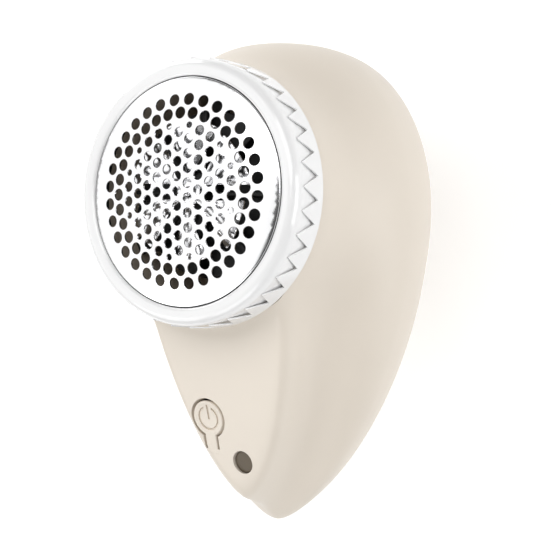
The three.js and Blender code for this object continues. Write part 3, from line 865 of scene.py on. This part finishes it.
def charging_socket():
    """Metal shell of the charging socket with its contact tongue."""
    low, high = box("charging_socket")
    made = socket_hole("charging_socket_surface", 0)
    combine(made, brick("length", low - (1, 0, 1), (high[0] + 1, high[1], high[2] + 1), 0.05), "INTERSECT")
    cavity = socket_hole("cavity", -0.35)
    cavity.data.transform(Matrix.Translation((0, -1.5, 0)))
    combine(made, cavity)
    middle = (low + high) / 2
    tongue = brick("tongue", (middle[0] - 3.2, low[1] + 0.8, middle[2] - 0.35),
                   (middle[0] + 3.2, high[1] - 0.5, middle[2] + 0.35), 0.12)
    combine(made, tongue, "UNION")
    return keep(made, "body", "motor_steel", steel, "charging_socket")


def kept_nodes():
    """CAD pieces inside the casing whose shape is right keep it and get a material of their own."""
    finishes = {
        rubber_and_painted_shade: ["lint_seal", "battery_lead_positive", "battery_lead_negative", "switch_plunger"],
        black_plastic: ["motor_mount", "motor_end_cap", "battery_cradle", "switch_body", "interlock_switch"],
        steel: ["motor_can", "motor_screw_1", "motor_screw_2"],
        wrap: ["battery_pack"],
        board: ["circuit_board"],
        lamp: ["status_light"],
    }
    for finish, nodes in finishes.items():
        for node in nodes:
            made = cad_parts[node]
            made.data.materials.clear()
            made.data.materials.append(finish)


front_shell()
rear_shell()
discard(outer)
power_button()
indicator_lens()
foil()
foil_ring()
grip_band()
cutter()
impeller()
spindle()
lint_chamber()
lint_box()
case_screws()
charging_socket()
kept_nodes()


# ---- studio ----
def camera():
    """Long lens above the head's right, as far off as a product shot is taken."""
    lens = bpy.data.cameras.new("camera")
    lens.sensor_width = 36
    lens.lens = 109.578
    made = bpy.data.objects.new("camera", lens)
    bpy.context.scene.collection.objects.link(made)
    back = Vector((0.55792, 0.00145, 0.82990))
    up = Vector((-0.04004, 0.99888, 0.02518))
    turn = Matrix((up.cross(back), up, back)).transposed()
    made.matrix_world = Matrix.Translation(Vector((237.344, -18.024, 377.219)) * MM) @ turn.to_4x4()
    bpy.context.scene.camera = made


def softbox(name, azimuth, elevation, size, power, distance=0.6):
    """A large square light that faces the object from a direction in degrees, azimuth 0 being +X."""
    turn, rise = math.radians(azimuth), math.radians(elevation)
    light = bpy.data.lights.new(name, "AREA")
    light.shape = "SQUARE"
    light.size = size
    light.energy = power
    made = bpy.data.objects.new(name, light)
    bpy.context.scene.collection.objects.link(made)
    way = Vector((math.cos(turn) * math.cos(rise), math.sin(turn) * math.cos(rise), math.sin(rise)))
    made.location = way * distance + Vector((0, -0.02, 0.03))
    made.rotation_mode = "QUATERNION"
    made.rotation_quaternion = way.to_track_quat("Z", "Y")


def studio():
    """Soft lights all round, the largest where the foil mirrors it to the camera."""
    world = bpy.data.worlds.new("studio")
    world.use_nodes = True
    world.node_tree.nodes["Background"].inputs["Color"].default_value = (1, 1, 1, 1)
    world.node_tree.nodes["Background"].inputs["Strength"].default_value = 0.08
    bpy.context.scene.world = world
    bpy.context.scene.view_settings.view_transform = "Standard"
    softbox("foil_softbox", 176, 53, 0.75, 1.85)
    softbox("right_softbox", 0, 5, 0.35, 1.5)
    softbox("top_right_softbox", 45, 57, 0.35, 1.25)
    softbox("top_softbox", 90, 65, 0.35, 0.45)
    softbox("back_softbox", 135, 5, 0.35, 1.4)
    softbox("left_softbox", 225, 35, 0.35, 0.8)
    softbox("handle_softbox", 270, 35, 0.35, 0.95)


def floor():
    """A plain pale floor, low enough for the lint drawer to slide out above it."""
    drawer_travel = 34
    corners = [(-3, -3), (3, -3), (3, 3), (-3, 3)]
    mesh = bpy.data.meshes.new("floor")
    mesh.from_pydata([(x, y, -drawer_travel * MM) for x, y in corners], [], [(0, 1, 2, 3)])
    made = bpy.data.objects.new("floor", mesh)
    bpy.context.scene.collection.objects.link(made)
    pale = look("pale floor", (0.85, 0.85, 0.85), 0.8, tint=0.004, patch=3)
    shader = pale.node_tree.nodes["Principled BSDF"]
    shader.inputs["Emission Color"].default_value = (1, 1, 1, 1)
    shader.inputs["Emission Strength"].default_value = 0.3
    made.data.materials.append(pale)


camera()
studio()
floor()
